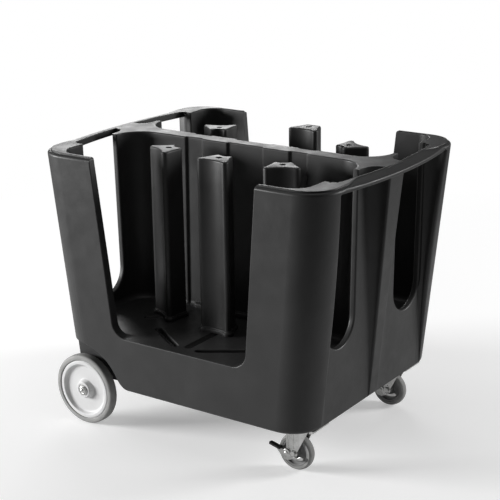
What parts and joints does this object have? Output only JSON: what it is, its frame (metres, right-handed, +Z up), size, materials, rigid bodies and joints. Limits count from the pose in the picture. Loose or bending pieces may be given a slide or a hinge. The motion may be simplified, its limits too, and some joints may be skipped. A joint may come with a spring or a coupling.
{
  "type": "plate dispenser cart",
  "caption": "Moulded cart with two open bays for stacks of plates, sliding star-shaped dividers, bowed end handles, large rear wheels and braked swivel casters.",
  "frame": {"origin": "on the floor, centred below the cart", "axes": "+X along the length towards the swivel casters, +Y across the cart, +Z up"},
  "size_m": [0.95, 0.72, 0.78],
  "materials": {
    "body_plastic": "fine matte moulded texture",
    "divider_plastic": "fine matte moulded texture",
    "rim_plastic": "satin",
    "grey_rubber": "matte",
    "bush_plastic": "satin",
    "core_plastic": "satin",
    "caster_rubber": "matte",
    "pad_plastic": "satin",
    "zinc": "zinc plated",
    "bright_zinc": "bright plated"
  },
  "bodies": {
    "cart": {"body_moulding": "body_plastic", "rear_axle": "zinc", "axle_saddle_near": "zinc", "axle_saddle_far": "zinc", "saddle_screws": "zinc", "axle_washers": "zinc", "axle_cap_near": "zinc", "caster_plate_near": "zinc", "caster_bolts_near": "zinc", "caster_kingpin_near": "zinc", "caster_balls_near": "zinc", "axle_cap_far": "zinc", "caster_plate_far": "zinc", "caster_bolts_far": "zinc", "caster_kingpin_far": "zinc", "caster_balls_far": "zinc"},
    "rear_wheel_near": {"rear_rim_near": "rim_plastic", "rear_tyre_near": "grey_rubber", "rear_bush_near": "bush_plastic"},
    "caster_near": {"caster_fork_near": "bright_zinc", "caster_axle_near": "zinc", "caster_nut_near": "zinc", "brake_pivot_near": "zinc"},
    "caster_wheel_near": {"caster_core_near": "core_plastic", "caster_tyre_near": "caster_rubber"},
    "brake_near": {"brake_lever_near": "bright_zinc", "brake_pad_near": "pad_plastic"},
    "near_left_divider": {"divider_near_left": "divider_plastic", "clamp_bolt_near_left": "zinc", "keeper_near_left": "zinc"},
    "near_middle_divider": {"divider_near_middle": "divider_plastic", "clamp_bolt_near_middle": "zinc", "keeper_near_middle": "zinc"},
    "near_right_divider": {"divider_near_right": "divider_plastic", "clamp_bolt_near_right": "zinc", "keeper_near_right": "zinc"},
    "rear_wheel_far": {"rear_rim_far": "rim_plastic", "rear_tyre_far": "grey_rubber", "rear_bush_far": "bush_plastic"},
    "caster_far": {"caster_fork_far": "bright_zinc", "caster_axle_far": "zinc", "caster_nut_far": "zinc", "brake_pivot_far": "zinc"},
    "caster_wheel_far": {"caster_core_far": "core_plastic", "caster_tyre_far": "caster_rubber"},
    "brake_far": {"brake_lever_far": "bright_zinc", "brake_pad_far": "pad_plastic"},
    "far_left_divider": {"divider_far_left": "divider_plastic", "clamp_bolt_far_left": "zinc", "keeper_far_left": "zinc"},
    "far_middle_divider": {"divider_far_middle": "divider_plastic", "clamp_bolt_far_middle": "zinc", "keeper_far_middle": "zinc"},
    "far_right_divider": {"divider_far_right": "divider_plastic", "clamp_bolt_far_right": "zinc", "keeper_far_right": "zinc"}
  },
  "joints": [
    {"name": "rear_spin_near", "type": "hinge", "parent": "cart", "child": "rear_wheel_near", "pos_m": [-0.3475, -0.316, 0.1], "axis": [0, 1, 0], "continuous": true},
    {"name": "swivel_near", "type": "hinge", "parent": "cart", "child": "caster_near", "pos_m": [0.329, -0.246, 0.12], "axis": [0, 0, 1], "continuous": true},
    {"name": "caster_roll_near", "type": "hinge", "parent": "caster_near", "child": "caster_wheel_near", "pos_m": [0.306, -0.246, 0.05], "axis": [0, 1, 0], "continuous": true},
    {"name": "brake_tilt_near", "type": "hinge", "parent": "caster_near", "child": "brake_near", "pos_m": [0.286, -0.246, 0.046], "axis": [0, 1, 0], "range_deg": [0, 12]},
    {"name": "rear_spin_far", "type": "hinge", "parent": "cart", "child": "rear_wheel_far", "pos_m": [-0.3475, 0.316, 0.1], "axis": [0, 1, 0], "continuous": true},
    {"name": "swivel_far", "type": "hinge", "parent": "cart", "child": "caster_far", "pos_m": [0.329, 0.246, 0.12], "axis": [0, 0, 1], "continuous": true},
    {"name": "caster_roll_far", "type": "hinge", "parent": "caster_far", "child": "caster_wheel_far", "pos_m": [0.306, 0.246, 0.05], "axis": [0, 1, 0], "continuous": true},
    {"name": "brake_tilt_far", "type": "hinge", "parent": "caster_far", "child": "brake_far", "pos_m": [0.286, 0.246, 0.046], "axis": [0, 1, 0], "range_deg": [0, 12]},
    {"name": "near_left_slide", "type": "slide", "parent": "cart", "child": "near_left_divider", "axis": [-0.6414, -0.7672, 0], "range_m": [-0.0202, 0.0746]},
    {"name": "near_middle_slide", "type": "slide", "parent": "cart", "child": "near_middle_divider", "axis": [0, -1, 0], "range_m": [-0.035, 0.153]},
    {"name": "near_right_slide", "type": "slide", "parent": "cart", "child": "near_right_divider", "axis": [0.6414, -0.7672, 0], "range_m": [-0.0202, 0.0746]},
    {"name": "far_left_slide", "type": "slide", "parent": "cart", "child": "far_left_divider", "axis": [-0.6414, 0.7672, 0], "range_m": [-0.07, 0.0248]},
    {"name": "far_middle_slide", "type": "slide", "parent": "cart", "child": "far_middle_divider", "axis": [0, 1, 0], "range_m": [-0.1879, 0]},
    {"name": "far_right_slide", "type": "slide", "parent": "cart", "child": "far_right_divider", "axis": [0.6414, 0.7672, 0], "range_m": [-0.07, 0.0248]}
  ]
}
